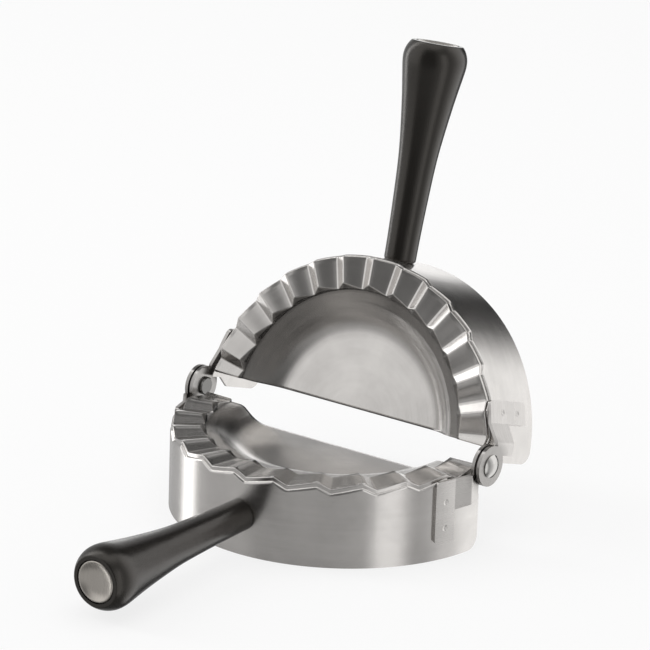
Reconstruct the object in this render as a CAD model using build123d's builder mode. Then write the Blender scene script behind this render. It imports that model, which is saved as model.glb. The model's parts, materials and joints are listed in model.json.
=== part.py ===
from build123d import *
from math import atan2, cos, degrees, hypot, radians, sin, tan
import os

# An empanada press: two half-round pressed bowls with crimped rims, hinged along their straight
# sides, each with a round handle. Opened flat, the two skirts make one round dough cutter.
#
# Every piece is built in its half's own frame: the arc's centre is on the Z axis, the resting edge
# is on z = 0, and the half lies on the -Y side of the hinge line. The last section places both
# halves in the press's frame, with the upper half swung open about the hinge.

# ---------------------------------------------------------------- driving dimensions (mm, degrees)
edge_radius = 60.0          # outside of the skirt, which cuts the dough round
sheet = 0.9                 # the pressings' steel
rim_height = 29.5           # resting edge to the crimps' middle height
rim_width = 11.7            # the crimped land, from the skirt to the bowl
bowl_depth = 6.6            # crimps' middle height down to the bowl's floor
ledge_width = 3.6           # the flat ring inside the crimps
ledge_drop = 0.5            # from the crimps' valleys down to it
bowl_shoulder = 5.0         # radius where the ledge turns down into the bowl
bowl_dish = 12.0            # radius where the bowl's wall turns into its floor
bowl_slope = 38             # degrees, of the bowl's wall
open_angle = 107.7          # between the two rims as the press stands
closed_gap = 2.4            # between the two rims when the press is shut, filled by the dough
skirt_cut = 0.6             # the skirt runs on, nearly to the hinge line
skirt_corner = 5.0          # rounding of the skirt's lower corners

crimp_height = 2.1          # valley to crest, at the land's middle radius
riser_share = 0.31          # of a pitch, taken by the steep side
crest_round = 0.8
valley_round = 1.2
land_edge_round = 0.3       # the crimps' outer edge
bowl_edge_chamfer = 0.35    # the crimps' inner edge, where they drop to the bowl's ledge
shoulder_width = 0.7        # of skirt outside the crimped land
shoulder_drop = 1.3         # of the skirt's top below the crimps, which it follows up and down
shoulder_round = 1.0        # where the skirt turns in under the crimps

bracket_sheet = 1.2         # the hinge brackets' steel
strap_angle = 17.2          # the strap's middle, round from the hinge line
strap_spread = 7.7          # degrees of skirt that the strap covers
strap_foot = 6.5            # the strap's lower end above the resting edge
strap_corner = 1.6          # rounding of the strap's two far corners
weld_heights = (5.3, 14.8)  # of the two spot welds, above the strap's foot
weld_radius = 1.9           # of the ball whose print a weld leaves in the strap
weld_depth = 0.35
arm_foot = 17.8             # the arm's lower edge, where it leaves the strap
ear_radius = 7.2            # the bracket's round end
arm_bend = 7.6              # from the hinge line to the bend between arm and ear
pivot_radius = 2.5          # the rivet's shank
rivet_head_radius = 4.1
rivet_tail_radius = 3.3
washer_thickness = 0.8      # between the two ears of a hinge
running_clearance = 0.05    # of what turns on a shank, and between faces that slide past each other

grip_length = 78.1          # skirt to the handle's end face
flare_radius = 11.4         # where the handle is thickest
flare_setback = 6.0         # of that thickest place from the end face
end_radius = 9.1            # of the end face
root_radius = 5.7           # where the handle meets the skirt
cap_radius = 7.4            # the steel disc in the end face
cap_recess = 1.4            # the pocket it lies in
cap_gap = 0.3               # all round the disc, in its pocket
screw_radius = 2.5          # the screw that holds a handle
screw_clearance = 0.2       # round the screw, in all but its bush
bush_radius = 3.6           # the threaded bush in a handle's root
bush_length = 14.0
saddle_radius = 4.9         # the curved washer inside the skirt
saddle_thickness = 1.7

# The two halves are different pressings. The upper one has the finer crimps, so shut rims don't
# mesh tooth by tooth: their crests just clear each other, and dough fills the rest.
crimp_pitch = {"lower": 15.05, "upper": 12.35}     # degrees from one steep riser to the next
crimp_shift = {"lower": 0.9, "upper": 3.4}         # of a riser, round from the half's middle
rim_cut = {"lower": 1.2, "upper": 5.8}             # the rim and bowl stop this far from the hinge

# How far below the crimps each half's handle leaves its skirt, and how far it leans towards the
# rim. The lower handle is fastened a little to one side of the half's middle.
grip_drop = {"lower": 14.9, "upper": 13.4}
grip_offset = {"lower": 2.0, "upper": 0.0}
grip_lean = {"lower": -0.8, "upper": 4.1}

# ---------------------------------------------------------------- sizes that follow from them
hinge_height = rim_height + closed_gap / 2
land_outer = edge_radius - shoulder_width
land_inner = land_outer - rim_width
land_middle = (land_outer + land_inner) / 2
crimp_slope = crimp_height / 2 / land_middle       # crimps grow with the radius
ledge_height = rim_height - crimp_slope * land_inner - ledge_drop
floor_height = rim_height - bowl_depth
strap_head = rim_height - 0.5
ear_foot = arm_foot + 1.0
inner_ear = edge_radius + 0.9                      # the inner ear's near face
outer_ear = inner_ear + bracket_sheet + washer_thickness + 2 * running_clearance
rivet_seat = outer_ear + bracket_sheet + running_clearance


# ---------------------------------------------------------------- the pressing
def crimp_tooth(riser, pitch, apex_height):
    """What the crimping die takes away over one tooth, from the riser at this angle to the next:
    a pyramid whose point is on the arc's axis, so every facet is flat and every ridge radial."""
    start = riser + riser_share * pitch / 2
    end = start + pitch
    crest = end - riser_share * pitch
    middle = (start + end) / 2
    reach = edge_radius + 8
    outward = Vector(cos(radians(middle)), sin(radians(middle)), 0)
    base = Plane(
        origin=outward * reach + Vector(0, 0, apex_height),
        x_dir=Vector(-outward.Y, outward.X, 0),
        z_dir=outward,
    )

    def on_base(angle, slope):
        turn = radians(angle - middle)
        return (reach * tan(turn), slope * reach / cos(turn))

    with BuildPart() as tooth:
        with BuildSketch(base) as outline:
            with BuildLine():
                Polyline(
                    on_base(start, -crimp_slope),
                    on_base(crest, crimp_slope),
                    on_base(end, -crimp_slope),
                    on_base(end, 0.2),
                    on_base(start, 0.2),
                    close=True,
                )
            make_face()
        loft(sections=[outline.sketch.face(), Vertex(0, 0, apex_height)])
    return tooth.part


def crimp_die(half, apex_height):
    """All the teeth of one half, running on past both of its ends."""
    pitch = crimp_pitch[half]
    middle = 270 + crimp_shift[half]
    reach = int(90 / pitch) + 2
    return [crimp_tooth(middle + pitch * k, pitch, apex_height) for k in range(-reach, reach + 1)]


def turned_form(inset):
    """The half-round block that the sheet is pressed over, before it is crimped. With an inset of
    one sheet it is the space under the steel."""
    below = 1.0 if inset else 0.0
    wall = land_outer - inset
    top = rim_height + 2 - inset
    shoulder = bowl_shoulder - inset
    dish = bowl_dish + inset
    slope = radians(bowl_slope)
    drop = ledge_height - floor_height - (shoulder + dish) * (1 - cos(slope))
    ledge = ledge_height - inset
    ledge_end = land_inner - ledge_width
    shoulder_foot = Vector(ledge_end - shoulder * sin(slope), ledge - shoulder * (1 - cos(slope)))
    wall_foot = shoulder_foot - Vector(drop / tan(slope), drop)
    floor_edge = wall_foot - Vector(dish * sin(slope), dish * (1 - cos(slope)))
    with BuildPart() as form:
        with BuildSketch(Plane.XZ):
            with BuildLine():
                Polyline(
                    (0, -below),
                    (wall, -below),
                    (wall, top),
                    (land_inner + inset, top),
                    (land_inner + inset, ledge),
                    (ledge_end, ledge),
                )
                RadiusArc((ledge_end, ledge), shoulder_foot, -shoulder)
                Line(shoulder_foot, wall_foot)
                RadiusArc(wall_foot, floor_edge, dish)
                Polyline(floor_edge, (0, floor_edge.Y), (0, -below))
            make_face()
        revolve(axis=Axis((0, 0, 0), (0, 0, -1)), revolution_arc=180)
    return form.part


def skirt_form(inset):
    """The half ring that the skirt adds outside the crimped land, before it is crimped."""
    below = 1.0 if inset else 0.0
    outside = edge_radius - inset
    inside = land_inner + 4
    top = rim_height + 2 - inset
    with BuildPart() as form:
        with BuildSketch(Plane.XZ):
            with BuildLine():
                Polyline(
                    (inside, -below), (outside, -below), (outside, top), (inside, top), close=True
                )
            make_face()
        revolve(axis=Axis((0, 0, 0), (0, 0, -1)), revolution_arc=180)
    return form.part


def radius_of(point):
    return hypot(point.X, point.Y)


def is_ridge(edge):
    """A radial edge between two crimp facets, clear of the block's flat side."""
    first, last = edge @ 0, edge @ 1
    turned = degrees(atan2(first.Y, first.X) - atan2(last.Y, last.X))
    across = abs(radius_of(first) - radius_of(last))
    return abs(turned) < 0.05 and across > 5 and edge.center().Y < -1.5


def is_land_edge(edge, radius, floor):
    """One of the edges that follow the crimps round at this radius, above the floor level."""
    points = [edge @ 0, edge @ 0.5, edge @ 1]
    return edge.geom_type != GeomType.LINE and all(
        abs(radius_of(point) - radius) < 0.02 and point.Z > floor for point in points
    )


def skirt_reach(offset):
    """How far out the skirt's face is, this far to the side of the half's middle."""
    return (edge_radius**2 - offset**2) ** 0.5


def handle_plane(half):
    """Its X axis is the handle's axis, outward from the skirt's outer face."""
    lean = radians(grip_lean[half])
    offset = grip_offset[half]
    return Plane(
        origin=(offset, -skirt_reach(offset), rim_height - grip_drop[half]),
        x_dir=(0, -cos(lean), sin(lean)),
        z_dir=(1, 0, 0),
    )


def along_handle(half, distance):
    """A plane square to the handle's axis, this far out from the skirt."""
    axis = handle_plane(half)
    return Plane(origin=axis.origin + axis.x_dir * distance, z_dir=axis.x_dir)


def crimped(half, form, apex_height, outer_radius, outer_round):
    """A form after the crimping die has struck it, with its ridges and outer edge rounded."""
    with BuildPart() as struck:
        add(form)
        for tooth in crimp_die(half, apex_height):
            add(tooth, mode=Mode.SUBTRACT)
        ridges = struck.edges().filter_by(is_ridge)
        fillet(ridges.filter_by(lambda ridge: ridge.center().Z < apex_height), valley_round)
        ridges = struck.edges().filter_by(is_ridge)
        fillet(ridges.filter_by(lambda ridge: ridge.center().Z > apex_height), crest_round)
        rim = struck.edges().filter_by(lambda e: is_land_edge(e, outer_radius, apex_height - 2))
        fillet(rim, outer_round)
    return struck.part


def underside(half):
    """The space under the steel: the same two forms, one sheet in, with sharp ridges."""
    with BuildPart() as land:
        add(turned_form(sheet))
        for tooth in crimp_die(half, rim_height - sheet):
            add(tooth, mode=Mode.SUBTRACT)
    with BuildPart() as skirt:
        add(skirt_form(sheet))
        for tooth in crimp_die(half, rim_height - shoulder_drop - sheet):
            add(tooth, mode=Mode.SUBTRACT)
    with BuildPart() as space:
        add(land.part)
        add(skirt.part)
    return space.part


def skirt_trim(hollow):
    """What comes off at the skirt's two ends. Its outline is a side view: outside the skirt's
    rounded lower corner, its straight end, and the sloping relief that the rivets turn in."""
    corner = skirt_cut + skirt_corner
    relief = rivet_tail_radius + 0.5
    relief_head = hinge_height - 6
    relief_foot = relief_head - 5
    clear = 5
    with BuildPart() as trim:
        with BuildSketch(Plane.YZ.offset(-2 * edge_radius)):
            with BuildLine():
                RadiusArc((-corner, 0), (-skirt_cut, skirt_corner), -skirt_corner)
                Polyline(
                    (-skirt_cut, skirt_corner),
                    (-skirt_cut, relief_foot),
                    (-relief, relief_head),
                    (-relief, hinge_height + clear),
                    (clear, hinge_height + clear),
                    (clear, -clear),
                    (-corner, -clear),
                    (-corner, 0),
                )
            make_face()
        extrude(amount=4 * edge_radius)
        with Locations((0, 0, rim_height)):
            Box(hollow, edge_radius, 4 * rim_height, mode=Mode.SUBTRACT)
    return trim.part


def pressing(half):
    land = crimped(half, turned_form(0), rim_height, land_outer, land_edge_round)
    skirt_top = rim_height - shoulder_drop
    skirt = crimped(half, skirt_form(0), skirt_top, edge_radius, shoulder_round)
    with BuildPart() as shell:
        add(land)
        chamfer(
            shell.edges().filter_by(lambda e: is_land_edge(e, land_inner, ledge_height + 0.1)),
            bowl_edge_chamfer,
        )
        add(skirt)
        # The steel follows the form, one sheet thick.
        add(underside(half), mode=Mode.SUBTRACT)
        # The land and the bowl stop short of the hinge line.
        hollow = 2 * (edge_radius - sheet - 0.5)
        with Locations((0, 0, rim_height)):
            Box(hollow, 2 * rim_cut[half], 4 * rim_height, mode=Mode.SUBTRACT)
        add(skirt_trim(hollow), mode=Mode.SUBTRACT)
    return shell.part


def screw_hole(shell, half):
    """The pressing with the hole that the handle's screw goes through."""
    with BuildPart() as drilled:
        add(shell)
        with BuildSketch(along_handle(half, -5)):
            Circle(screw_radius + screw_clearance)
        extrude(amount=10, mode=Mode.SUBTRACT)
    return drilled.part


# ---------------------------------------------------------------- the hinge
def offset_path(points, distance):
    """The same open path moved sideways, to the right of its direction, with mitred corners."""
    moved = []
    steps = [(Vector(*b) - Vector(*a)).normalized() for a, b in zip(points, points[1:])]
    for place, point in enumerate(points):
        before = steps[max(place - 1, 0)]
        after = steps[min(place, len(steps) - 1)]
        normal = (Vector(before.Y, -before.X) + Vector(after.Y, -after.X)).normalized()
        stretch = distance / normal.dot(Vector(after.Y, -after.X))
        moved.append((point[0] + normal.X * stretch, point[1] + normal.Y * stretch))
    return moved


def bracket(ear_face):
    """A strap that lies round the skirt, an arm bent off it, and an ear square to the hinge. This
    one is for the half's +X side."""
    near = radians(strap_angle - strap_spread / 2)
    far = radians(strap_angle + strap_spread / 2)
    outside = edge_radius + bracket_sheet

    def round_skirt(radius, angle):
        return (radius * cos(angle), -radius * sin(angle))

    path = [round_skirt(edge_radius, near), (ear_face, -arm_bend), (ear_face, -4.0)]
    with BuildPart() as piece:
        # The arm: its plan, cut to its side view.
        with BuildSketch():
            with BuildLine():
                Polyline(*path, *reversed(offset_path(path, bracket_sheet)), close=True)
            make_face()
        extrude(amount=strap_head)
        with BuildSketch(Plane.YZ.offset(-2 * edge_radius)):
            with BuildLine():
                Polyline(
                    (-edge_radius, arm_foot),
                    (path[0][1], arm_foot),
                    (path[2][1], ear_foot),
                    (path[2][1], strap_head),
                    (-edge_radius, strap_head),
                    close=True,
                )
            make_face()
        extrude(amount=4 * edge_radius, mode=Mode.INTERSECT)
        # The strap, on the skirt.
        with BuildSketch(Plane.XY.offset(strap_foot)):
            with BuildLine():
                inside_arc = RadiusArc(
                    round_skirt(edge_radius, near), round_skirt(edge_radius, far), edge_radius
                )
                outside_arc = RadiusArc(
                    round_skirt(outside, near), round_skirt(outside, far), outside
                )
                Line(inside_arc @ 0, outside_arc @ 0)
                Line(inside_arc @ 1, outside_arc @ 1)
            make_face()
        extrude(amount=strap_head - strap_foot)
        corners = piece.edges().filter_by(
            lambda e: e.geom_type == GeomType.LINE
            and abs(e.length - bracket_sheet) < 0.01
            and abs(degrees(atan2(-e.center().Y, e.center().X)) - degrees(far)) < 0.1
        )
        fillet(corners, strap_corner)
        # The ear.
        with BuildSketch(Plane.YZ.offset(ear_face)):
            with Locations((0, hinge_height)):
                Circle(ear_radius)
        extrude(amount=bracket_sheet)
        bends = piece.edges().filter_by(Axis.Z).filter_by(
            lambda e: abs(e.center().Y + arm_bend) < 1 and e.length > 5
        )
        fillet(bends.sort_by(Axis.X)[-1], bracket_sheet + 0.8)
        # Two spot welds show as shallow dimples in the strap.
        print_centre = round_skirt(outside + weld_radius - weld_depth, radians(strap_angle))
        with Locations([(*print_centre, strap_foot + height) for height in weld_heights]):
            Sphere(weld_radius, mode=Mode.SUBTRACT)
    return piece.part


def pivot_hole(piece, radius):
    with BuildPart() as drilled:
        add(piece)
        with BuildSketch(Plane.YZ.offset(inner_ear - 1)):
            with Locations((0, hinge_height)):
                Circle(radius)
        extrude(amount=8, mode=Mode.SUBTRACT)
        rims = drilled.edges().filter_by(
            lambda e: e.geom_type == GeomType.CIRCLE and abs(e.radius - radius) < 0.01
        )
        chamfer(rims, 0.2)
    return drilled.part


def dome(start, rise):
    """A spherical end for a turned outline, from this point of the outline up to its axis."""
    reach = start[1]
    return RadiusArc(start, (start[0] + rise, 0), (reach**2 + rise**2) / (2 * rise))


def hinge_rivet():
    """A shank through both ears, a formed tail inside and a domed head outside."""
    tail = inner_ear - running_clearance
    brim = (rivet_seat + 0.35, rivet_head_radius)
    with BuildPart() as rivet:
        with BuildSketch(Plane.XZ):
            with BuildLine():
                Polyline(
                    (tail - 1.1, 0),
                    (tail - 1.1, rivet_tail_radius - 0.4),
                    (tail - 0.7, rivet_tail_radius),
                    (tail, rivet_tail_radius),
                    (tail, pivot_radius),
                    (rivet_seat, pivot_radius),
                    (rivet_seat, rivet_head_radius),
                    brim,
                )
                crown = dome(brim, 1.5)
                Line(crown @ 1, (tail - 1.1, 0))
            make_face()
        revolve(axis=Axis.X)
    return Pos(0, 0, hinge_height) * rivet.part


def hinge_washer():
    face = inner_ear + bracket_sheet + running_clearance
    with BuildPart() as washer:
        with BuildSketch(Plane.YZ.offset(face)):
            with Locations((0, hinge_height)):
                Circle(5.2)
                Circle(pivot_radius + running_clearance, mode=Mode.SUBTRACT)
        extrude(amount=washer_thickness)
    return washer.part


# ---------------------------------------------------------------- the handle
def turned_on_handle(half, outline):
    """A piece turned about the handle's axis, from a closed outline of (distance, radius)."""
    plane = handle_plane(half)
    with BuildPart() as piece:
        with BuildSketch(plane):
            with BuildLine():
                Polyline(*outline, close=True)
            make_face()
        revolve(axis=Axis(plane.origin, plane.x_dir))
    return piece.part


def handle(half):
    plane = handle_plane(half)
    offset = grip_offset[half]
    root = skirt_reach(offset + root_radius) - skirt_reach(offset) - 0.05
    widest = (grip_length - flare_setback, flare_radius)
    with BuildPart() as grip:
        with BuildSketch(plane):
            with BuildLine():
                Polyline((root, 0), (root, root_radius))
                Spline(
                    (root, root_radius),
                    (grip_length - 52, 6.35),
                    (grip_length - 40, 7.0),
                    (grip_length - 29, 8.2),
                    (grip_length - 18, 9.7),
                    (grip_length - 10, 11.0),
                    widest,
                    tangents=[(1, 0), (1, 0)],
                )
                TangentArc(widest, (grip_length, end_radius), tangent=(1, 0))
                Polyline(
                    (grip_length, end_radius),
                    (grip_length, cap_radius + cap_gap),
                    (grip_length - cap_recess, cap_radius + cap_gap),
                    (grip_length - cap_recess, 0),
                    (root, 0),
                )
            make_face()
        axis = Axis(plane.origin, plane.x_dir)
        revolve(axis=axis)
        root_rim = grip.edges().filter_by(
            lambda e: e.geom_type == GeomType.CIRCLE and abs(e.radius - root_radius) < 0.01
        )
        fillet(root_rim, 1.3)
        end_rim = grip.edges().filter_by(
            lambda e: e.geom_type == GeomType.CIRCLE and abs(e.radius - end_radius) < 0.01
        )
        fillet(end_rim, 0.5)
        # The root is seated on the skirt, and bored for the bush and the screw's tip.
        Cylinder(
            edge_radius, 4 * rim_height, align=(Align.CENTER, Align.CENTER, Align.MIN),
            mode=Mode.SUBTRACT,
        )
        with BuildSketch(along_handle(half, -2)):
            Circle(bush_radius)
        extrude(amount=2 + 1.0 + bush_length, mode=Mode.SUBTRACT)
        with BuildSketch(along_handle(half, 0)):
            Circle(screw_radius + screw_clearance)
        extrude(amount=bush_length + 5, mode=Mode.SUBTRACT)
    return grip.part


def handle_cap(half):
    """The disc in the handle's end, a little domed, with a bevelled rim."""
    floor = grip_length - cap_recess
    face = grip_length - 0.35
    bevel = (face + 0.3, cap_radius - 0.45)
    plane = handle_plane(half)
    with BuildPart() as cap:
        with BuildSketch(plane):
            with BuildLine():
                Polyline((floor, 0), (floor, cap_radius), (face, cap_radius), bevel)
                crown = dome(bevel, 0.4)
                Line(crown @ 1, (floor, 0))
            make_face()
        revolve(axis=Axis(plane.origin, plane.x_dir))
    return cap.part


def threaded_bush(half):
    inner = screw_radius
    outline = [(1.0, inner), (1.0, bush_radius), (1.0 + bush_length, bush_radius)]
    return turned_on_handle(half, outline + [(1.0 + bush_length, inner)])


def handle_screw(half):
    seat = -sheet - saddle_thickness
    head = turned_on_handle(
        half,
        [
            (seat - 2.8, 0),
            (seat - 2.8, 3.4),
            (seat - 1.9, 4.3),
            (seat, 4.3),
            (seat, screw_radius),
            (bush_length, screw_radius),
            (bush_length + 0.8, screw_radius - 0.8),
            (bush_length + 0.8, 0),
        ],
    )
    with BuildPart() as screw:
        add(head)
        with BuildSketch(along_handle(half, seat - 2.8)):
            RegularPolygon(1.7, 6)
        extrude(amount=1.6, mode=Mode.SUBTRACT)
    return screw.part


def saddle_washer(half):
    """Flat under the screw's head, curved against the skirt."""
    with BuildPart() as saddle:
        with BuildSketch(along_handle(half, -sheet - saddle_thickness)):
            Circle(saddle_radius)
            Circle(screw_radius + screw_clearance, mode=Mode.SUBTRACT)
        extrude(amount=saddle_thickness + 2)
        Cylinder(
            edge_radius - sheet, 4 * rim_height, align=(Align.CENTER, Align.CENTER, Align.MIN),
            mode=Mode.INTERSECT,
        )
    return saddle.part


# ---------------------------------------------------------------- placing the pieces
# The press stands on the lower skirt's edge. Its frame's origin is on the table in the middle of
# that half-round foot, so the hinge line is half a radius behind it. X runs along the hinge.
hinge_behind = edge_radius / 2
stand = Pos(0, hinge_behind, 0)
swing = Pos(0, 0, hinge_height) * Rot(X=180 - open_angle) * Pos(0, 0, -hinge_height)
places = {"lower": stand, "upper": stand * swing * Rot(Z=180)}

fixed_hole = pivot_radius
turning_hole = pivot_radius + running_clearance

os.makedirs("parts", exist_ok=True)


def keep(piece, name, place):
    node = place * piece
    node.label = name
    export_step(node, f"parts/{name}.step")
    print(name, round(node.volume), "mm3")


for half, place in places.items():
    # Both halves have the inner ear on their own +X side and the outer ear on their own -X side,
    # so that they interlock when one is turned round to face the other.
    # The rivets are tight in the lower half's ears and turn in the upper half's.
    hole = fixed_hole if half == "lower" else turning_hole
    near_side, far_side = ("right", "left") if half == "lower" else ("left", "right")
    keep(screw_hole(pressing(half), half), f"{half}_shell", place)
    keep(pivot_hole(bracket(inner_ear), hole), f"{half}_bracket_{near_side}", place)
    outer_bracket = mirror(pivot_hole(bracket(outer_ear), hole), Plane.YZ)
    keep(outer_bracket, f"{half}_bracket_{far_side}", place)
    keep(handle(half), f"{half}_handle", place)
    keep(handle_cap(half), f"{half}_handle_cap", place)
    keep(threaded_bush(half), f"{half}_handle_bush", place)
    keep(handle_screw(half), f"{half}_handle_screw", place)
    keep(saddle_washer(half), f"{half}_saddle_washer", place)

for side, turn in {"right": 0, "left": 180}.items():
    keep(Rot(Z=turn) * hinge_rivet(), f"hinge_rivet_{side}", stand)
    keep(Rot(Z=turn) * hinge_washer(), f"hinge_washer_{side}", stand)
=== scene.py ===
# %% [markdown]
# # An empanada press
# The press is two half-round bowls pressed from stainless steel sheet, hinged along their straight
# sides. A round of dough is laid over the open halves, filled, and shut in: the crimps that run
# round both rims press its edge into waves and seal it. Every solid piece comes in with the frame,
# at its real size. What is left to make here are the hollow faces of the two caps, and what light
# does on it all: brushed steel and black plastic.

# %% Load the frame
import bpy
from math import cos, pi, radians, sin, sqrt
from mathutils import Matrix, Vector
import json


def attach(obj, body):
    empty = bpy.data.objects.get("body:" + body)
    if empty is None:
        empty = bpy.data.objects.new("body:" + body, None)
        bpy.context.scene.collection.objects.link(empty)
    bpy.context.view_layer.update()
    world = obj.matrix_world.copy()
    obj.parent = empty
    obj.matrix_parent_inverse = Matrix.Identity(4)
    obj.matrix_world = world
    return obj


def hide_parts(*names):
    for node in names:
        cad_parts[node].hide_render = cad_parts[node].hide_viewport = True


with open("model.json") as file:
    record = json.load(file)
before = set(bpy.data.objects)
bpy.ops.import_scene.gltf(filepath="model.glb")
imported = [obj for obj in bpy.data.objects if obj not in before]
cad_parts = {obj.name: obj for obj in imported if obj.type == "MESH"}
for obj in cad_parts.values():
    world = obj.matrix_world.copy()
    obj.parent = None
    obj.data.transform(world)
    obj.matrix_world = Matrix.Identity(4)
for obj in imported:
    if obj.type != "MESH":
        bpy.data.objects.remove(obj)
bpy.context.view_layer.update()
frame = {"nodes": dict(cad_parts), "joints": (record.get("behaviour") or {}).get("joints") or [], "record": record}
MM = 0.001
nodes = frame["nodes"]
hinge = frame["joints"][0]
bpy.ops.object.select_all(action="DESELECT")

# %% [markdown]
# ## The camera
# The camera stands in front and to the right, a little above the press. It could come close with a
# short lens, but that would stretch the two round rims, so it stands far off with a long one.

# %% Place the camera
view_turn = 36.03           # degrees from straight in front, towards the right
view_rise = 18.72           # degrees above the horizon
view_roll = 1.87            # degrees that the camera's right side is raised
view_distance = 1.600       # metres
view_aim = Vector((-0.0182, 0.0436, 0.0599))
lens_length, film_width = 250.15, 36.0  # mm

turn, rise, roll = radians(view_turn), radians(view_rise), radians(view_roll)
back = Vector((sin(turn) * cos(rise), -cos(turn) * cos(rise), sin(rise)))
level = Vector((cos(turn), sin(turn), 0))
upright = back.cross(level)
right = level * cos(roll) + upright * sin(roll)
up = back.cross(right)

bpy.ops.object.camera_add(location=view_aim + back * view_distance)
camera = bpy.context.object
camera.name = "camera"
camera.rotation_euler = Matrix((right, up, back)).transposed().to_euler()
camera.data.lens = lens_length
camera.data.sensor_width = film_width
camera.data.clip_end = 20
bpy.context.scene.camera = camera
print("camera at", [round(value, 3) for value in camera.location])

# %% [markdown]
# ## Writing node trees
# A finish is a small network of shader nodes. A few helpers keep the code for them short. One adds
# a node, and sets or joins its inputs. The others use it for sums, and to start a new material.

# %% Helpers for nodes
def add_node(tree, kind, values=None, **settings):
    node = tree.nodes.new(kind)
    for name, value in settings.items():
        setattr(node, name, value)
    for name, value in (values or {}).items():
        if isinstance(value, bpy.types.NodeSocket):
            tree.links.new(value, node.inputs[name])
        else:
            node.inputs[name].default_value = value
    return node


def maths(tree, operation, *values):
    node = add_node(tree, "ShaderNodeMath", dict(enumerate(values)), operation=operation)
    return node.outputs[0]


def vector_maths(tree, operation, *values):
    node = add_node(tree, "ShaderNodeVectorMath", dict(enumerate(values)), operation=operation)
    return node.outputs["Value" if operation == "LENGTH" else "Vector"]


def map_range(tree, value, low, high, to_low=0.0, to_high=1.0):
    """Spread what lies between low and high over to_low to to_high, and hold it there."""
    return add_node(tree, "ShaderNodeMapRange", {"Value": value, "From Min": low, "From Max": high,
                    "To Min": to_low, "To Max": to_high}).outputs[0]


def new_material(name):
    material = bpy.data.materials.new(name)
    material.use_nodes = True
    tree = material.node_tree
    tree.nodes.clear()
    shader = add_node(tree, "ShaderNodeBsdfPrincipled")
    add_node(tree, "ShaderNodeOutputMaterial", {"Surface": shader.outputs[0]})
    return material, tree, shader


# %% [markdown]
# ## Grain that follows the form
# The sheet was brushed in long lines before it was pressed, and the bowl was brushed again as it
# turned. So the lines on the skirt run round it, and those in the bowl are circles. The pattern
# needs to know where it is on one half: its angle round the arc, its radius and its height. Each
# half has its own frame, so the upper half's lines stay with it however far it is swung open. A
# picture of brushed steel could be wrapped on instead, but it would stretch in the bowls and show
# its seams. A pattern that is worked out from each point's place does neither.

# %% A half's own frame
hinge_point = Vector(hinge["pos_m"])
open_angle = hinge["range_deg"][1]
swing = radians(180 - open_angle)
HALVES = {                  # how each half is turned from its own frame
    "lower": Matrix.Identity(3),
    "upper": Matrix.Rotation(swing, 3, "X") @ Matrix.Rotation(pi, 3, "Z"),
}


def half_mapping(half):
    """The rotation and shift that take a point of the press to this half's own frame."""
    back_turn = HALVES[half].transposed()
    own_hinge = Vector((0, 0, hinge_point.z))
    return back_turn, own_hinge - back_turn @ hinge_point


for half in HALVES:
    _, shift = half_mapping(half)
    print(half, "half's frame is shifted", [round(value / MM, 2) for value in shift], "mm")

# %% [markdown]
# The lines themselves are noise, stretched until it is over a hundred times longer than it is wide.
# A second, wider noise gives the streaks that a worn belt leaves among them.

# %% Brushed grain, as a node group
streak_spread = (0.09, 0.35, 1.0)       # of the lines' own scale, across and along them


def add_sockets(group, names, way="INPUT"):
    for name in names:
        group.interface.new_socket(name=name, in_out=way, socket_type="NodeSocketFloat")


def brushed_group():
    """Fine lines along one direction. All four inputs are distances in metres."""
    group = bpy.data.node_groups.new("brushed_lines", "ShaderNodeTree")
    add_sockets(group, ("Across", "Along", "Line Width", "Line Length"))
    add_sockets(group, ("Lines", "Streaks"), "OUTPUT")
    ends = add_node(group, "NodeGroupInput").outputs
    across = maths(group, "DIVIDE", ends["Across"], ends["Line Width"])
    along = maths(group, "DIVIDE", ends["Along"], ends["Line Length"])
    place = add_node(group, "ShaderNodeCombineXYZ", {"X": across, "Y": along}).outputs[0]
    lines = add_node(group, "ShaderNodeTexNoise", {"Vector": place, "Scale": 1.0, "Detail": 3.0})
    wide = vector_maths(group, "MULTIPLY", place, streak_spread)
    streaks = add_node(group, "ShaderNodeTexNoise", {"Vector": wide, "Scale": 1.0, "Detail": 2.0})
    add_node(group, "NodeGroupOutput", {"Lines": lines.outputs[0], "Streaks": streaks.outputs[0]})
    return group


brushed_lines = brushed_group()
print(brushed_lines.name, "has", len(brushed_lines.nodes), "nodes")

# %% [markdown]
# ## Soft pressing
# Sheet that is struck between dies never comes out quite sharp. Each crimp flattens a little
# towards its foot and its crest, the ridges are round, the crimps roll over into the bowl, and the
# trimmed edges are rubbed smooth. These are tenths of a millimetre, but they are what gives every
# crimp its own run of light and dark. To model them would multiply the mesh for what is only a play
# of light, so a height for the Bump node makes them. The ledge round the bowl is tilted more than
# that, so that it catches the light as a dished one does.

# %% Where a point lies on its crimp
# Pitch and shift in degrees, the trimmed edge in mm in front of the hinge, and how far the faces
# ease off and the ridges are rounded. At 1 they come level.
crimps = {
    "lower": (15.05, 0.9, 1.2, 0.5, 1.3),
    "upper": (12.35, 3.4, 5.8, 0.35, 0.0),
}
riser_share = 0.31                      # of a crimp's width, for its steep side


def crimp_place(group, bearing, shift, pitch):
    """The climb up the gentle side, and how near the crest is on either side, from 0 to 1."""
    turns = maths(group, "DIVIDE", maths(group, "SUBTRACT", bearing, shift), pitch)
    turns = maths(group, "WRAP", maths(group, "SUBTRACT", turns, riser_share / 2), 1.0, 0.0)
    climb = map_range(group, turns, 0.0, 1 - riser_share)
    return climb, maths(group, "MINIMUM", climb, map_range(group, turns, 1.0, 1 - riser_share))


for half, (pitch, *_) in crimps.items():
    print(half, "half:", round(180 / pitch, 1), "crimps in a half round")

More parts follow.
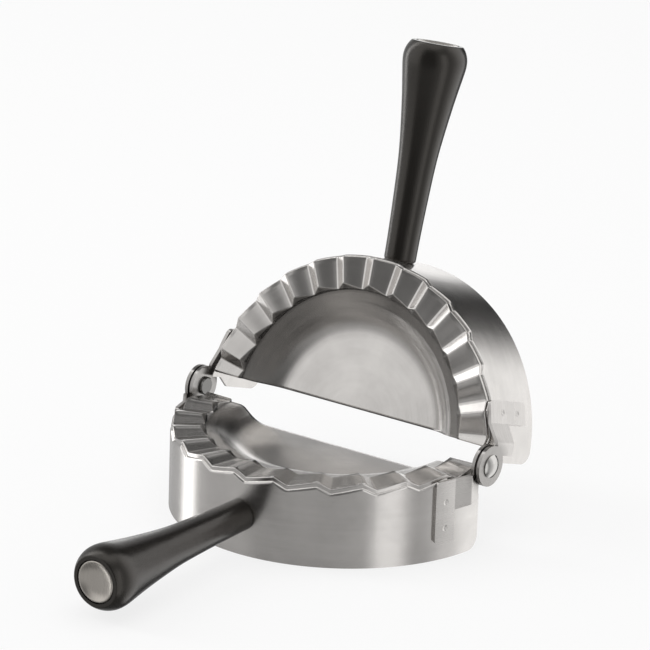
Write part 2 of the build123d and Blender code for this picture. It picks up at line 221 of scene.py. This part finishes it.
# %% The crimps' own softness
land_inner, land_outer = 47.6, 59.3     # mm, of the crimped land
crimp_rise = 0.039                      # of the radius, from valley to crest
ridge_share = 0.45                      # of a face's width, that the ridge's rounding takes
inner_fade, outer_fade = 0.5, 1.5       # mm, over which the softness dies out
edge_play = 0.1                         # mm that the land's edge may lie further out


def soft_crimp(group, climb, crest, radius, easing, roundness):
    """In mm: the gentle side eases off towards its foot and its crest, and the ridge is round."""
    wave = maths(group, "SINE", maths(group, "MULTIPLY", climb, 2 * pi))
    size = maths(group, "MULTIPLY", easing, -crimp_rise / 2 / pi)
    ridge = maths(group, "POWER", map_range(group, crest, 1 - ridge_share, 1.0), 2.0)
    worn = maths(group, "MULTIPLY", roundness, -crimp_rise * ridge_share / 2)
    crimp = maths(group, "MULTIPLY_ADD", wave, size, maths(group, "MULTIPLY", ridge, worn))
    on_land = maths(group, "MULTIPLY",
                    map_range(group, radius, land_inner, land_inner + inner_fade),
                    map_range(group, radius, land_outer + edge_play, land_outer - outer_fade))
    return maths(group, "MULTIPLY", maths(group, "MULTIPLY", crimp, radius), on_land)


# %% The scallops, where the bowl's wall cuts into the crimps
scallop_reach = 1.9                     # mm out into the land, under a crest
scallop_slope = 1.1                     # mm down for each mm inwards
corner_width = 0.5                      # mm, over which the roll begins
cut_start, cut_end = 0.1, 0.7           # mm inwards of the corner, where the painted shade sets in


def scallop(group, crest, radius, on_land):
    """In mm: the roll down into the bowl, furthest out under each crest. Also a mask of it, for the painted shade
    in the scallops' corners.
    """
    corner = maths(group, "MULTIPLY_ADD", crest, scallop_reach, land_inner + corner_width)
    inward = maths(group, "SUBTRACT", corner, radius)
    depth = maths(group, "MAXIMUM", inward, 0.0)
    roll = maths(group, "DIVIDE", maths(group, "MULTIPLY", depth, depth),
                 maths(group, "ADD", depth, corner_width))
    roll = maths(group, "MULTIPLY", maths(group, "MULTIPLY", roll, on_land), -scallop_slope)
    cut = maths(group, "MULTIPLY", map_range(group, inward, cut_start, cut_end), on_land)
    return roll, cut


# %% The bowl's ledge and the trimmed edge
bowl_ledge, bowl_wall = 44.0, 40.9      # mm, where the ledge ends, and where its rounding does
ledge_slope = 0.8                       # mm up for each mm outwards
trim_width, trim_drop = 0.9, 0.6        # mm, of the rubbed edge along the straight side
trim_fade = 0.5                         # mm, over which that dies out towards the skirt


def dished_ledge(group, radius):
    """In mm: a rounding out of the bowl, and the tilted ledge that follows it."""
    wall = maths(group, "POWER", map_range(group, radius, bowl_wall, bowl_ledge), 2.0)
    wall = maths(group, "MULTIPLY", wall, ledge_slope / 2 * (bowl_ledge - bowl_wall))
    ledge = maths(group, "MULTIPLY", map_range(group, radius, bowl_ledge, land_inner),
                  ledge_slope * (land_inner - bowl_ledge))
    return maths(group, "ADD", wall, ledge)


def rubbed_trim(group, from_trim, radius):
    """In mm: the crimped land falls away towards the edge that was trimmed."""
    trim = maths(group, "POWER", map_range(group, from_trim, trim_width, 0.0), 2.0)
    within = map_range(group, radius, land_outer + edge_play, land_outer - trim_fade)
    return maths(group, "MULTIPLY", maths(group, "MULTIPLY", trim, within), -trim_drop)


# %% [markdown]
# The group that follows joins those pieces. It also gives a painted shade, which darkens the
# scallops' corners, the ledge just inside them and the bowl's wall.

# %% The pressing's soft relief, as a node group
under_rim = 1.2                         # mm, of the ledge just inside the land, which gets a painted shade
deep_start, deep_end = 30.0, 40.0       # mm, where the painted shade on the bowl's wall begins, and where it is full
# How much painted shade takes off the colour in the scallops' corners, on the ledge's rim and on the bowl's wall.
painted_corner_shade, painted_rim_shade, painted_wall_shade = 0.55, 0.25, 0.25
land_slack = 0.02                       # mm, so that the land's own inner edge counts as land


def relief_group():
    """A height in metres and a painted shade, from a place on one half in millimetres and degrees."""
    group = bpy.data.node_groups.new("soft_relief", "ShaderNodeTree")
    add_sockets(group, ("Bearing", "Radius", "From Trim", "Pitch", "Shift", "Easing", "Roundness"))
    add_sockets(group, ("Height", "Shade"), "OUTPUT")
    ends = add_node(group, "NodeGroupInput").outputs
    radius = ends["Radius"]
    climb, crest = crimp_place(group, ends["Bearing"], ends["Shift"], ends["Pitch"])
    on_land = maths(group, "GREATER_THAN", radius, land_inner - land_slack)
    in_bowl = maths(group, "SUBTRACT", 1.0, on_land)
    roll, cut = scallop(group, crest, radius, on_land)

    height = soft_crimp(group, climb, crest, radius, ends["Easing"], ends["Roundness"])
    for piece in (roll, dished_ledge(group, radius),
                  rubbed_trim(group, ends["From Trim"], radius)):
        height = maths(group, "ADD", height, piece)

    rim = maths(group, "MULTIPLY", map_range(group, radius, land_inner - under_rim, land_inner),
                in_bowl)
    deep = maths(group, "MULTIPLY", map_range(group, radius, deep_start, deep_end), in_bowl)
    # Painted shade: each mask darkens the colour by its own amount.
    shade = 1.0
    for mask, painted_dark in ((cut, painted_corner_shade), (rim, painted_rim_shade), (deep, painted_wall_shade)):
        shade = maths(group, "MULTIPLY_ADD", mask, -painted_dark, shade)
    add_node(group, "NodeGroupOutput", {"Height": maths(group, "MULTIPLY", height, MM),
                                        "Shade": shade})
    return group


soft_relief = relief_group()
print(soft_relief.name, "has", len(soft_relief.nodes), "nodes")

# %% [markdown]
# ## Stainless steel
# Brushed steel reflects sharply along its lines and blurs across them. Bump alone could do it with
# enough fine lines, but they would be smaller than a pixel and flicker. The shader's anisotropy
# does it smoothly, once it is told which way the lines run: round the arc.

# %% The brushed steel's workings
line_width, line_length = 0.22 * MM, 30 * MM
line_depth = 0.02 * MM
noise_reach = 0.3, 0.7      # most of a noise's values lie between these


def own_axes(tree, half):
    """The three coordinates of a point in its half's own frame."""
    back_turn, shift = half_mapping(half)
    place = add_node(tree, "ShaderNodeTexCoord").outputs["Object"]
    own = add_node(tree, "ShaderNodeMapping", {"Vector": place, "Location": shift,
                                               "Rotation": back_turn.to_euler()}).outputs[0]
    return add_node(tree, "ShaderNodeSeparateXYZ", {"Vector": own}).outputs


def in_world(tree, half, direction):
    """Turn a direction in a half's own frame to the world's."""
    turned = HALVES[half]
    in_press = add_node(tree, "ShaderNodeMapping", {"Vector": direction,
                        "Rotation": turned.to_euler()}, vector_type="VECTOR").outputs[0]
    return add_node(tree, "ShaderNodeVectorTransform", {"Vector": in_press},
                    vector_type="VECTOR", convert_from="OBJECT", convert_to="WORLD").outputs[0]


def brush(tree, shader, across, along, tangent, relief, shade, colours, roughness):
    """Join the brushed lines, and the relief under them, to a steel's shader."""
    grain = add_node(tree, "ShaderNodeGroup", {"Across": across, "Along": along,
                     "Line Width": line_width, "Line Length": line_length},
                     node_tree=brushed_lines)
    colour = add_node(tree, "ShaderNodeMix", {"Factor": grain.outputs["Streaks"],
                      "A": (*colours[0], 1), "B": (*colours[1], 1)}, data_type="RGBA")
    # Shade scales the colour down. It carries the pressings' and brackets' painted shade, and the smears' random
    # tone.
    shaded = add_node(tree, "ShaderNodeVectorMath", {0: colour.outputs["Result"], "Scale": shade},
                      operation="SCALE")
    tree.links.new(shaded.outputs[0], shader.inputs["Base Color"])
    rough = map_range(tree, grain.outputs["Lines"], *noise_reach, *roughness)
    tree.links.new(rough, shader.inputs["Roughness"])
    tree.links.new(tangent, shader.inputs["Tangent"])
    soft = add_node(tree, "ShaderNodeBump", {"Height": relief, "Distance": 1.0, "Strength": 1.0})
    bump = add_node(tree, "ShaderNodeBump", {"Height": grain.outputs["Lines"], "Strength": 0.25,
                                             "Distance": line_depth, "Normal": soft.outputs[0]})
    tree.links.new(bump.outputs[0], shader.inputs["Normal"])
    shader.inputs["Metallic"].default_value = 1.0
    shader.inputs["Anisotropic"].default_value = 0.8
    shader.inputs["Anisotropic Rotation"].default_value = 0.25


# %% [markdown]
# Two more effects are only shades of the steel's colour. Fingers leave faint smears all over,
# and the brackets' round ends get a painted shade, which makes them darker than the rest.

# %% Smears, and painted shade on the brackets' ends
smear_scale, smear_low, smear_high, smear_shade = 70.0, 0.35, 0.6, 0.9
ear_start, ear_end = 11 * MM, 7 * MM    # from the hinge's pivot
# How bright the painted shade leaves the brackets' round ends
ear_painted_shade = 0.66


def smears(tree):
    place = add_node(tree, "ShaderNodeTexCoord").outputs["Object"]
    noise = add_node(tree, "ShaderNodeTexNoise", {"Vector": place, "Scale": smear_scale,
                                                  "Detail": 4.0})
    return map_range(tree, noise.outputs[0], smear_low, smear_high, smear_shade)


def paint_ear_shade(tree, y, z):
    """The painted shade on a bracket's round end, from a place in its half's own frame."""
    from_pivot = add_node(tree, "ShaderNodeCombineXYZ", {"X": y,
                          "Y": maths(tree, "SUBTRACT", z, hinge_point.z)})
    away = vector_maths(tree, "LENGTH", from_pivot.outputs[0])
    return map_range(tree, away, ear_start, ear_end, 1.0, ear_painted_shade)


# %% The steel of the pressings and the brackets
edge_radius, skirt_start = 60 * MM, 58.8 * MM


def pressed_steel(half, name, colours, roughness):
    """Brushed round the arc: on the pressings, and on the brackets that follow them."""
    material, tree, shader = new_material(f"{name}_{half}")
    x, y, z = own_axes(tree, half)
    ahead = maths(tree, "MULTIPLY", y, -1.0)
    flat = add_node(tree, "ShaderNodeCombineXYZ", {"X": x, "Y": y})
    radius = vector_maths(tree, "LENGTH", flat.outputs[0])
    angle = maths(tree, "ARCTAN2", x, ahead)
    # On the skirt the lines are stacked in height, and on the bowl in radius.
    on_skirt = maths(tree, "GREATER_THAN", radius, skirt_start)
    stacked = add_node(tree, "ShaderNodeMix", {"Factor": on_skirt, "A": radius, "B": z},
                       data_type="FLOAT").outputs[0]
    round_arc = add_node(tree, "ShaderNodeCombineXYZ", {"X": ahead, "Y": x}).outputs[0]
    pitch, shift_round, trim, easing, roundness = crimps[half]
    relief = add_node(tree, "ShaderNodeGroup", {"Bearing": maths(tree, "DEGREES", angle),
                      "Radius": maths(tree, "DIVIDE", radius, MM),
                      "From Trim": maths(tree, "MULTIPLY_ADD", y, -1 / MM, -trim),
                      "Pitch": pitch, "Shift": shift_round, "Easing": easing,
                      "Roundness": roundness}, node_tree=soft_relief)
    # The relief's painted shade, times the smears' random tone.
    shade = maths(tree, "MULTIPLY", relief.outputs["Shade"], smears(tree))
    # The brackets' round ends get a painted shade.
    if name == "bracket":
        shade = maths(tree, "MULTIPLY", shade, paint_ear_shade(tree, y, z))
    brush(tree, shader, stacked, maths(tree, "MULTIPLY", angle, edge_radius),
          in_world(tree, half, round_arc), relief.outputs["Height"], shade, colours, roughness)
    return material


# %% [markdown]
# ## The caps
# The disc in each grip's end is stamped from sheet: its rim is rounded over and its face is pressed
# hollow, so it catches a crescent of light. The solid piece is a plain disc, so a turned one stands
# for it here. Spin could turn the same outline. Instead a round face is drawn up and in, ring by
# ring, as a spinner's tool would press it, which leaves no seam to close.

# %% Turn the two caps
grips = {                   # degrees of lean, mm sideways, and mm of the root's height
    "lower": (-0.8, 2.0, 14.6),
    "upper": (4.1, 0.0, 16.1),
}
grip_length = 78.1          # mm
cap_rim = [                 # mm, radius and height above the grip's end, from the back
    (7.4, -1.35), (7.4, -0.45), (7.35, -0.25), (7.2, -0.1), (7.0, -0.02), (6.8, -0.02),
]
cap_face, cap_hollow = 6.6, 0.95        # mm, radius of the hollow and its depth
hollow_start = -0.08                    # mm, where the hollow leaves the rim
face_rings, round_sides = 14, 96


def cap_outline():
    """The rim's points, and then the hollow's, ring by ring to the middle."""
    hollow = []
    for ring in range(face_rings):
        share = 1 - ring / face_rings
        hollow.append((cap_face * share, hollow_start - cap_hollow * (1 - share ** 3)))
    return cap_rim + hollow


def turned_cap(half):
    outline = cap_outline()
    bpy.ops.mesh.primitive_circle_add(vertices=round_sides, radius=outline[0][0] * MM,
                                      fill_type="NGON")
    cap = bpy.context.object
    cap.name = f"{half}_dished_cap"
    bpy.ops.object.mode_set(mode="EDIT")
    bpy.ops.mesh.select_all(action="SELECT")
    for (radius, height), (next_radius, next_height) in zip(outline, outline[1:]):
        lift = (0, 0, (next_height - height) * MM)
        bpy.ops.mesh.extrude_region_move(TRANSFORM_OT_translate={"value": lift})
        draw_in = next_radius / radius
        bpy.ops.transform.resize(value=(draw_in, draw_in, 1))
    bpy.ops.mesh.merge(type="CENTER")
    bpy.ops.mesh.select_all(action="SELECT")
    bpy.ops.mesh.normals_make_consistent(inside=False)
    bpy.ops.object.mode_set(mode="OBJECT")
    bpy.ops.object.shade_smooth_by_angle(angle=radians(40))
    lean, sideways, root_height = grips[half]
    axis = Vector((0, -cos(radians(lean)), sin(radians(lean))))
    root_ahead = sqrt((edge_radius / MM) ** 2 - sideways ** 2)      # on the skirt
    foot = Vector((sideways, -root_ahead, root_height)) + axis * (grip_length + outline[0][1])
    turned = HALVES[half]
    _, shift = half_mapping(half)
    cap.location = turned @ (foot * MM - shift)
    cap.rotation_euler = (turned @ axis).to_track_quat("Z", "Y").to_euler()
    bpy.ops.object.transform_apply()
    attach(cap, f"{half}_half")
    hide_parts(f"{half}_handle_cap")
    return cap


caps = {half: turned_cap(half) for half in HALVES}
for half, cap in caps.items():
    print(cap.name, len(cap.data.polygons), "faces",
          [round(value / MM, 1) for value in cap.dimensions])

# %% [markdown]
# ## The smaller finishes
# A cap is brushed once, straight across, after it is stamped. Its lines lie in its own face, so
# their direction leans with the grip.

# %% The caps' steel
cap_tones = (0.46, 0.43, 0.395), (0.50, 0.47, 0.43)     # the darker and the lighter streaks
cap_roughness = 0.22, 0.28


def cap_steel(half):
    material, tree, shader = new_material(f"cap_{half}")
    x, _, z = own_axes(tree, half)
    lean, *_ = grips[half]
    brushed = (0.0, sin(radians(lean)), cos(radians(lean)))
    brush(tree, shader, x, z, in_world(tree, half, brushed), 0.0, 1.0, cap_tones, cap_roughness)
    return material


# %% [markdown]
# Rivets and washers are small and made by the thousand. They are tumbled smooth in a drum and never
# brushed, so they have no lines, only a roughness that wanders. The rivets' closed ends lie inside,
# and get a painted shade that makes them darker.

# %% The small parts' metals
small_parts = {             # colour, roughness, and how bright the painted shade leaves the inner side
    "rivet": ((0.50, 0.49, 0.475), 0.16, 0.35),
    "washer": ((0.42, 0.41, 0.40), 0.38, 1.0),
    "screw": ((0.58, 0.57, 0.56), 0.30, 1.0),
    "bush": ((0.72, 0.52, 0.26), 0.30, 1.0),
}
inner_side = 62 * MM        # from the press's middle: what lies nearer to it is the inner side
tumbled_scale, tumbled_play = 300.0, 0.03


def tumbled_metal(name):
    colour, roughness, inside = small_parts[name]
    material, tree, shader = new_material(name)
    place = add_node(tree, "ShaderNodeTexCoord").outputs["Object"]
    x = add_node(tree, "ShaderNodeSeparateXYZ", {"Vector": place}).outputs[0]
    # The rivets' inner ends get a painted shade: their colour is darkened on the side nearer the press's middle.
    outer = maths(tree, "GREATER_THAN", maths(tree, "ABSOLUTE", x), inner_side)
    painted_dark = [inside * value for value in colour]
    tint = add_node(tree, "ShaderNodeMix", {"Factor": outer, "A": (*painted_dark, 1), "B": (*colour, 1)},
                    data_type="RGBA").outputs["Result"]
    tree.links.new(tint, shader.inputs["Base Color"])
    noise = add_node(tree, "ShaderNodeTexNoise", {"Vector": place, "Scale": tumbled_scale,
                                                  "Detail": 3.0})
    rough = map_range(tree, noise.outputs[0], *noise_reach, roughness - tumbled_play,
                      roughness + tumbled_play)
    tree.links.new(rough, shader.inputs["Roughness"])
    shader.inputs["Metallic"].default_value = 1.0
    return material


# %% [markdown]
# The grips are moulded in black plastic. The mould's skin is finely sparked, so the surface has a
# tiny grain that breaks up every highlight, and hands have polished it unevenly.

# %% Black plastic
grip_black, grip_sheen = (0.0075, 0.0066, 0.0056), (1.0, 0.94, 0.87)
grip_roughness = 0.18, 0.26
spark_scale, spark_depth = 2400.0, 0.06 * MM
worn_scale = 90.0


def grip_plastic():
    material, tree, shader = new_material("grip")
    place = add_node(tree, "ShaderNodeTexCoord").outputs["Object"]
    sparked = add_node(tree, "ShaderNodeTexNoise", {"Vector": place, "Scale": spark_scale,
                                                    "Detail": 2.0})
    bump = add_node(tree, "ShaderNodeBump", {"Height": sparked.outputs[0], "Strength": 0.7,
                                             "Distance": spark_depth})
    tree.links.new(bump.outputs[0], shader.inputs["Normal"])
    worn = add_node(tree, "ShaderNodeTexNoise", {"Vector": place, "Scale": worn_scale,
                                                 "Detail": 3.0})
    rough = map_range(tree, worn.outputs[0], *noise_reach, *grip_roughness)
    tree.links.new(rough, shader.inputs["Roughness"])
    shader.inputs["Base Color"].default_value = (*grip_black, 1)
    shader.inputs["Specular IOR Level"].default_value = 0.6
    shader.inputs["Specular Tint"].default_value = (*grip_sheen, 1)
    return material


# %% [markdown]
# Each solid piece carries the name of its material in the record. The pressings and brackets need
# their own half's frame, so they are looked up by half first, and the rest by the name alone.

# %% Give each node its finish
pressed_parts = {           # the darker and the lighter streaks, and the range of roughness
    "pressing": (((0.575, 0.555, 0.535), (0.635, 0.615, 0.595)), (0.20, 0.25)),
    "bracket": (((0.575, 0.555, 0.535), (0.625, 0.605, 0.585)), (0.26, 0.32)),
}
finishes = {name: tumbled_metal(name) for name in small_parts}
finishes["grip"] = grip_plastic()
for half in HALVES:
    for name, (tones, roughness) in pressed_parts.items():
        finishes[half, name] = pressed_steel(half, name, tones, roughness)
    finishes[half, "cap"] = cap_steel(half)
for subpart in frame["record"]["subparts"]:
    name, slot = subpart["node"], subpart["material_slot"]
    finish = finishes.get((name.split("_")[0], slot)) or finishes[slot]
    nodes[name].material_slots[0].material = finish
    print(name, "->", finish.name)
for half, cap in caps.items():
    cap.data.materials.append(finishes[half, "cap"])
    print(cap.name, "->", finishes[half, "cap"].name)

# %% [markdown]
# ## The studio
# Polished metal looks like whatever stands round it, so the room matters more than the lamps. The
# press stands on white paper in a grey room. Pale screens stand to its left, to its right and
# behind it, one hangs overhead, and dark cards in front and behind draw the shadows on the steel.
# A picture of a real room could surround it instead, but no card in it could be moved or dimmed.

# %% A card, as a node group
def card_group():
    """One screen or card hung in the room: it covers what is behind it, with a soft edge."""
    group = bpy.data.node_groups.new("room_card", "ShaderNodeTree")
    add_sockets(group, ("Behind", "Bearing", "Rise", "Centre", "Half Width", "Middle",
                        "Half Height", "Softness", "Brightness"))
    add_sockets(group, ("Light",), "OUTPUT")
    ends = add_node(group, "NodeGroupInput").outputs

    def inside(distance, half):
        near = maths(group, "SUBTRACT", ends[half], ends["Softness"])
        far = maths(group, "ADD", ends[half], ends["Softness"])
        return add_node(group, "ShaderNodeMapRange", {"Value": distance, "From Min": near,
                        "From Max": far, "To Min": 1.0, "To Max": 0.0},
                        interpolation_type="SMOOTHSTEP").outputs[0]

    off = maths(group, "SUBTRACT", ends["Bearing"], ends["Centre"])
    off = maths(group, "ABSOLUTE", maths(group, "WRAP", off, 180.0, -180.0))
    lift = maths(group, "ABSOLUTE", maths(group, "SUBTRACT", ends["Rise"], ends["Middle"]))
    cover = maths(group, "MULTIPLY", inside(off, "Half Width"), inside(lift, "Half Height"))
    light = add_node(group, "ShaderNodeMix", {"Factor": cover, "A": ends["Behind"],
                     "B": ends["Brightness"]}, data_type="FLOAT").outputs[0]
    add_node(group, "NodeGroupOutput", {"Light": light})
    return group


room_card = card_group()
print("room_card takes", len(room_card.interface.items_tree) - 1, "values")

# %% [markdown]
# The cards are hung one over another, each covering a part of the grey behind it. Only reflections
# see them. For all other light the room is an even grey, and where the camera looks past the press
# it is white.

# %% Hang the room
# Each card's centre and half width round the room, its middle height and half height, all in
# degrees as seen from the press, then its softness and brightness. Bearings run from straight in
# front, towards the right.
room_cards = {
    "underfoot": (0, 400, -75, 36, 8, 0.15),
    "overhead": (0, 400, 90, 26, 12, 1.3),
    "left_wall": (-120, 36, 20, 80, 10, 0.50),
    "front_left": (-46, 24, 30, 36, 7, 1.05),
    "left_screen": (-87, 8, 10, 60, 4, 2.8),
    "front": (12, 30, 22, 34, 8, 0.15),
    "right_screen": (71, 11, -5, 42, 7, 1.25),
    "right_wall": (118, 14, 0, 55, 10, 0.9),
    "back_right": (147, 24, 0, 60, 8, 1.45),
    "back": (184, 14, 10, 75, 5, 0.03),
    "high_left": (-140, 34, 66, 28, 6, 0.16),
    "back_left": (-148, 8, -1, 13, 3, 1.6),
}
wall_grey, even_grey = 0.48, 0.6        # in reflections, and for all other light


def room_light(tree, direction):
    """How bright the room is in each direction."""
    axes = add_node(tree, "ShaderNodeSeparateXYZ", {"Vector": direction})
    ahead = maths(tree, "MULTIPLY", axes.outputs["Y"], -1.0)
    bearing = maths(tree, "DEGREES", maths(tree, "ARCTAN2", axes.outputs["X"], ahead))
    rise = maths(tree, "DEGREES", maths(tree, "ARCSINE", axes.outputs["Z"]))
    light = wall_grey
    for name, (centre, width, middle, height, softness, brightness) in room_cards.items():
        card = add_node(tree, "ShaderNodeGroup", {"Behind": light, "Bearing": bearing,
                        "Rise": rise, "Centre": centre, "Half Width": width, "Middle": middle,
                        "Half Height": height, "Softness": softness, "Brightness": brightness},
                        node_tree=room_card, label=name)
        light = card.outputs[0]
    return light


world = bpy.data.worlds.new("studio")
bpy.context.scene.world = world
world.use_nodes = True
tree = world.node_tree
tree.nodes.clear()
direction = add_node(tree, "ShaderNodeTexCoord").outputs["Generated"]
path = add_node(tree, "ShaderNodeLightPath")
lit = add_node(tree, "ShaderNodeMix", {"Factor": path.outputs["Is Glossy Ray"], "A": even_grey,
               "B": room_light(tree, direction)}, data_type="FLOAT").outputs[0]
strength = add_node(tree, "ShaderNodeMix", {"Factor": path.outputs["Is Camera Ray"], "A": lit,
                    "B": 1.0}, data_type="FLOAT").outputs[0]
room = add_node(tree, "ShaderNodeBackground", {"Color": (1, 1, 1, 1), "Strength": strength})
add_node(tree, "ShaderNodeOutputWorld", {"Surface": room.outputs[0]})
print("room:", ", ".join(room_cards))

# %% [markdown]
# A sheet of white paper lies under the press and runs on behind it. It takes the press's shadow, so
# it has to be a real surface, not part of the room. It also glows a little to the eye, so that it
# meets the white behind it without a horizon.

# %% The paper
paper_width = 6             # metres
paper_glow = 0.8            # how much of what the eye sees of it is plain white
paper_lost = 0.85           # how much of it is gone from reflections
bpy.ops.mesh.primitive_plane_add(size=paper_width, location=(0, 0, 0))
floor = bpy.context.object
floor.name = "floor"
paper, tree, shader = new_material("white_floor")
shader.inputs["Base Color"].default_value = (0.9, 0.9, 0.9, 1)
shader.inputs["Roughness"].default_value = 0.6
path = add_node(tree, "ShaderNodeLightPath")
glow = add_node(tree, "ShaderNodeEmission", {"Color": (1, 1, 1, 1), "Strength": 1.0})
seen = maths(tree, "MULTIPLY", path.outputs["Is Camera Ray"], paper_glow)
plain = add_node(tree, "ShaderNodeMixShader", {0: seen, 1: shader.outputs[0], 2: glow.outputs[0]})
# In the steel the paper is a sweep that curves up into the walls, so it shows their bands.
sweep = add_node(tree, "ShaderNodeBsdfTransparent")
mirrored = maths(tree, "MULTIPLY", path.outputs["Is Glossy Ray"], paper_lost)
mixed = add_node(tree, "ShaderNodeMixShader", {0: mirrored, 1: plain.outputs[0],
                                               2: sweep.outputs[0]})
output = next(node for node in tree.nodes if node.type == "OUTPUT_MATERIAL")
tree.links.new(mixed.outputs[0], output.inputs[0])
floor.data.materials.append(paper)
print(floor.name, "carries", paper.name)

# %% [markdown]
# Two soft boxes throw the light that falls on dull surfaces. They stay out of the reflections,
# which belong to the cards. They are large and weak, so that the shadow on the paper is faint.

# %% Lamps
lamp_aim = Vector((0, 0.02, 0.04))
soft_boxes = {              # place and size in metres, and power in watts
    "key": ((-1.1, -0.3, 0.9), (0.3, 1.0), 5),
    "top": ((0.0, 0.3, 1.3), (1.0, 0.8), 5),
}
for name, (place, size, power) in soft_boxes.items():
    bpy.ops.object.light_add(type="AREA", location=place)
    lamp = bpy.context.object
    lamp.name = name
    lamp.data.shape = "RECTANGLE"
    lamp.data.size, lamp.data.size_y = size
    lamp.data.energy = power
    lamp.rotation_euler = (Vector(place) - lamp_aim).to_track_quat("Z", "Y").to_euler()
    lamp.visible_glossy = False     # the cards are what the steel shows
    print(name, "lamp,", power, "W")

bpy.context.scene.view_settings.view_transform = "Standard"

# %% Finish
import json
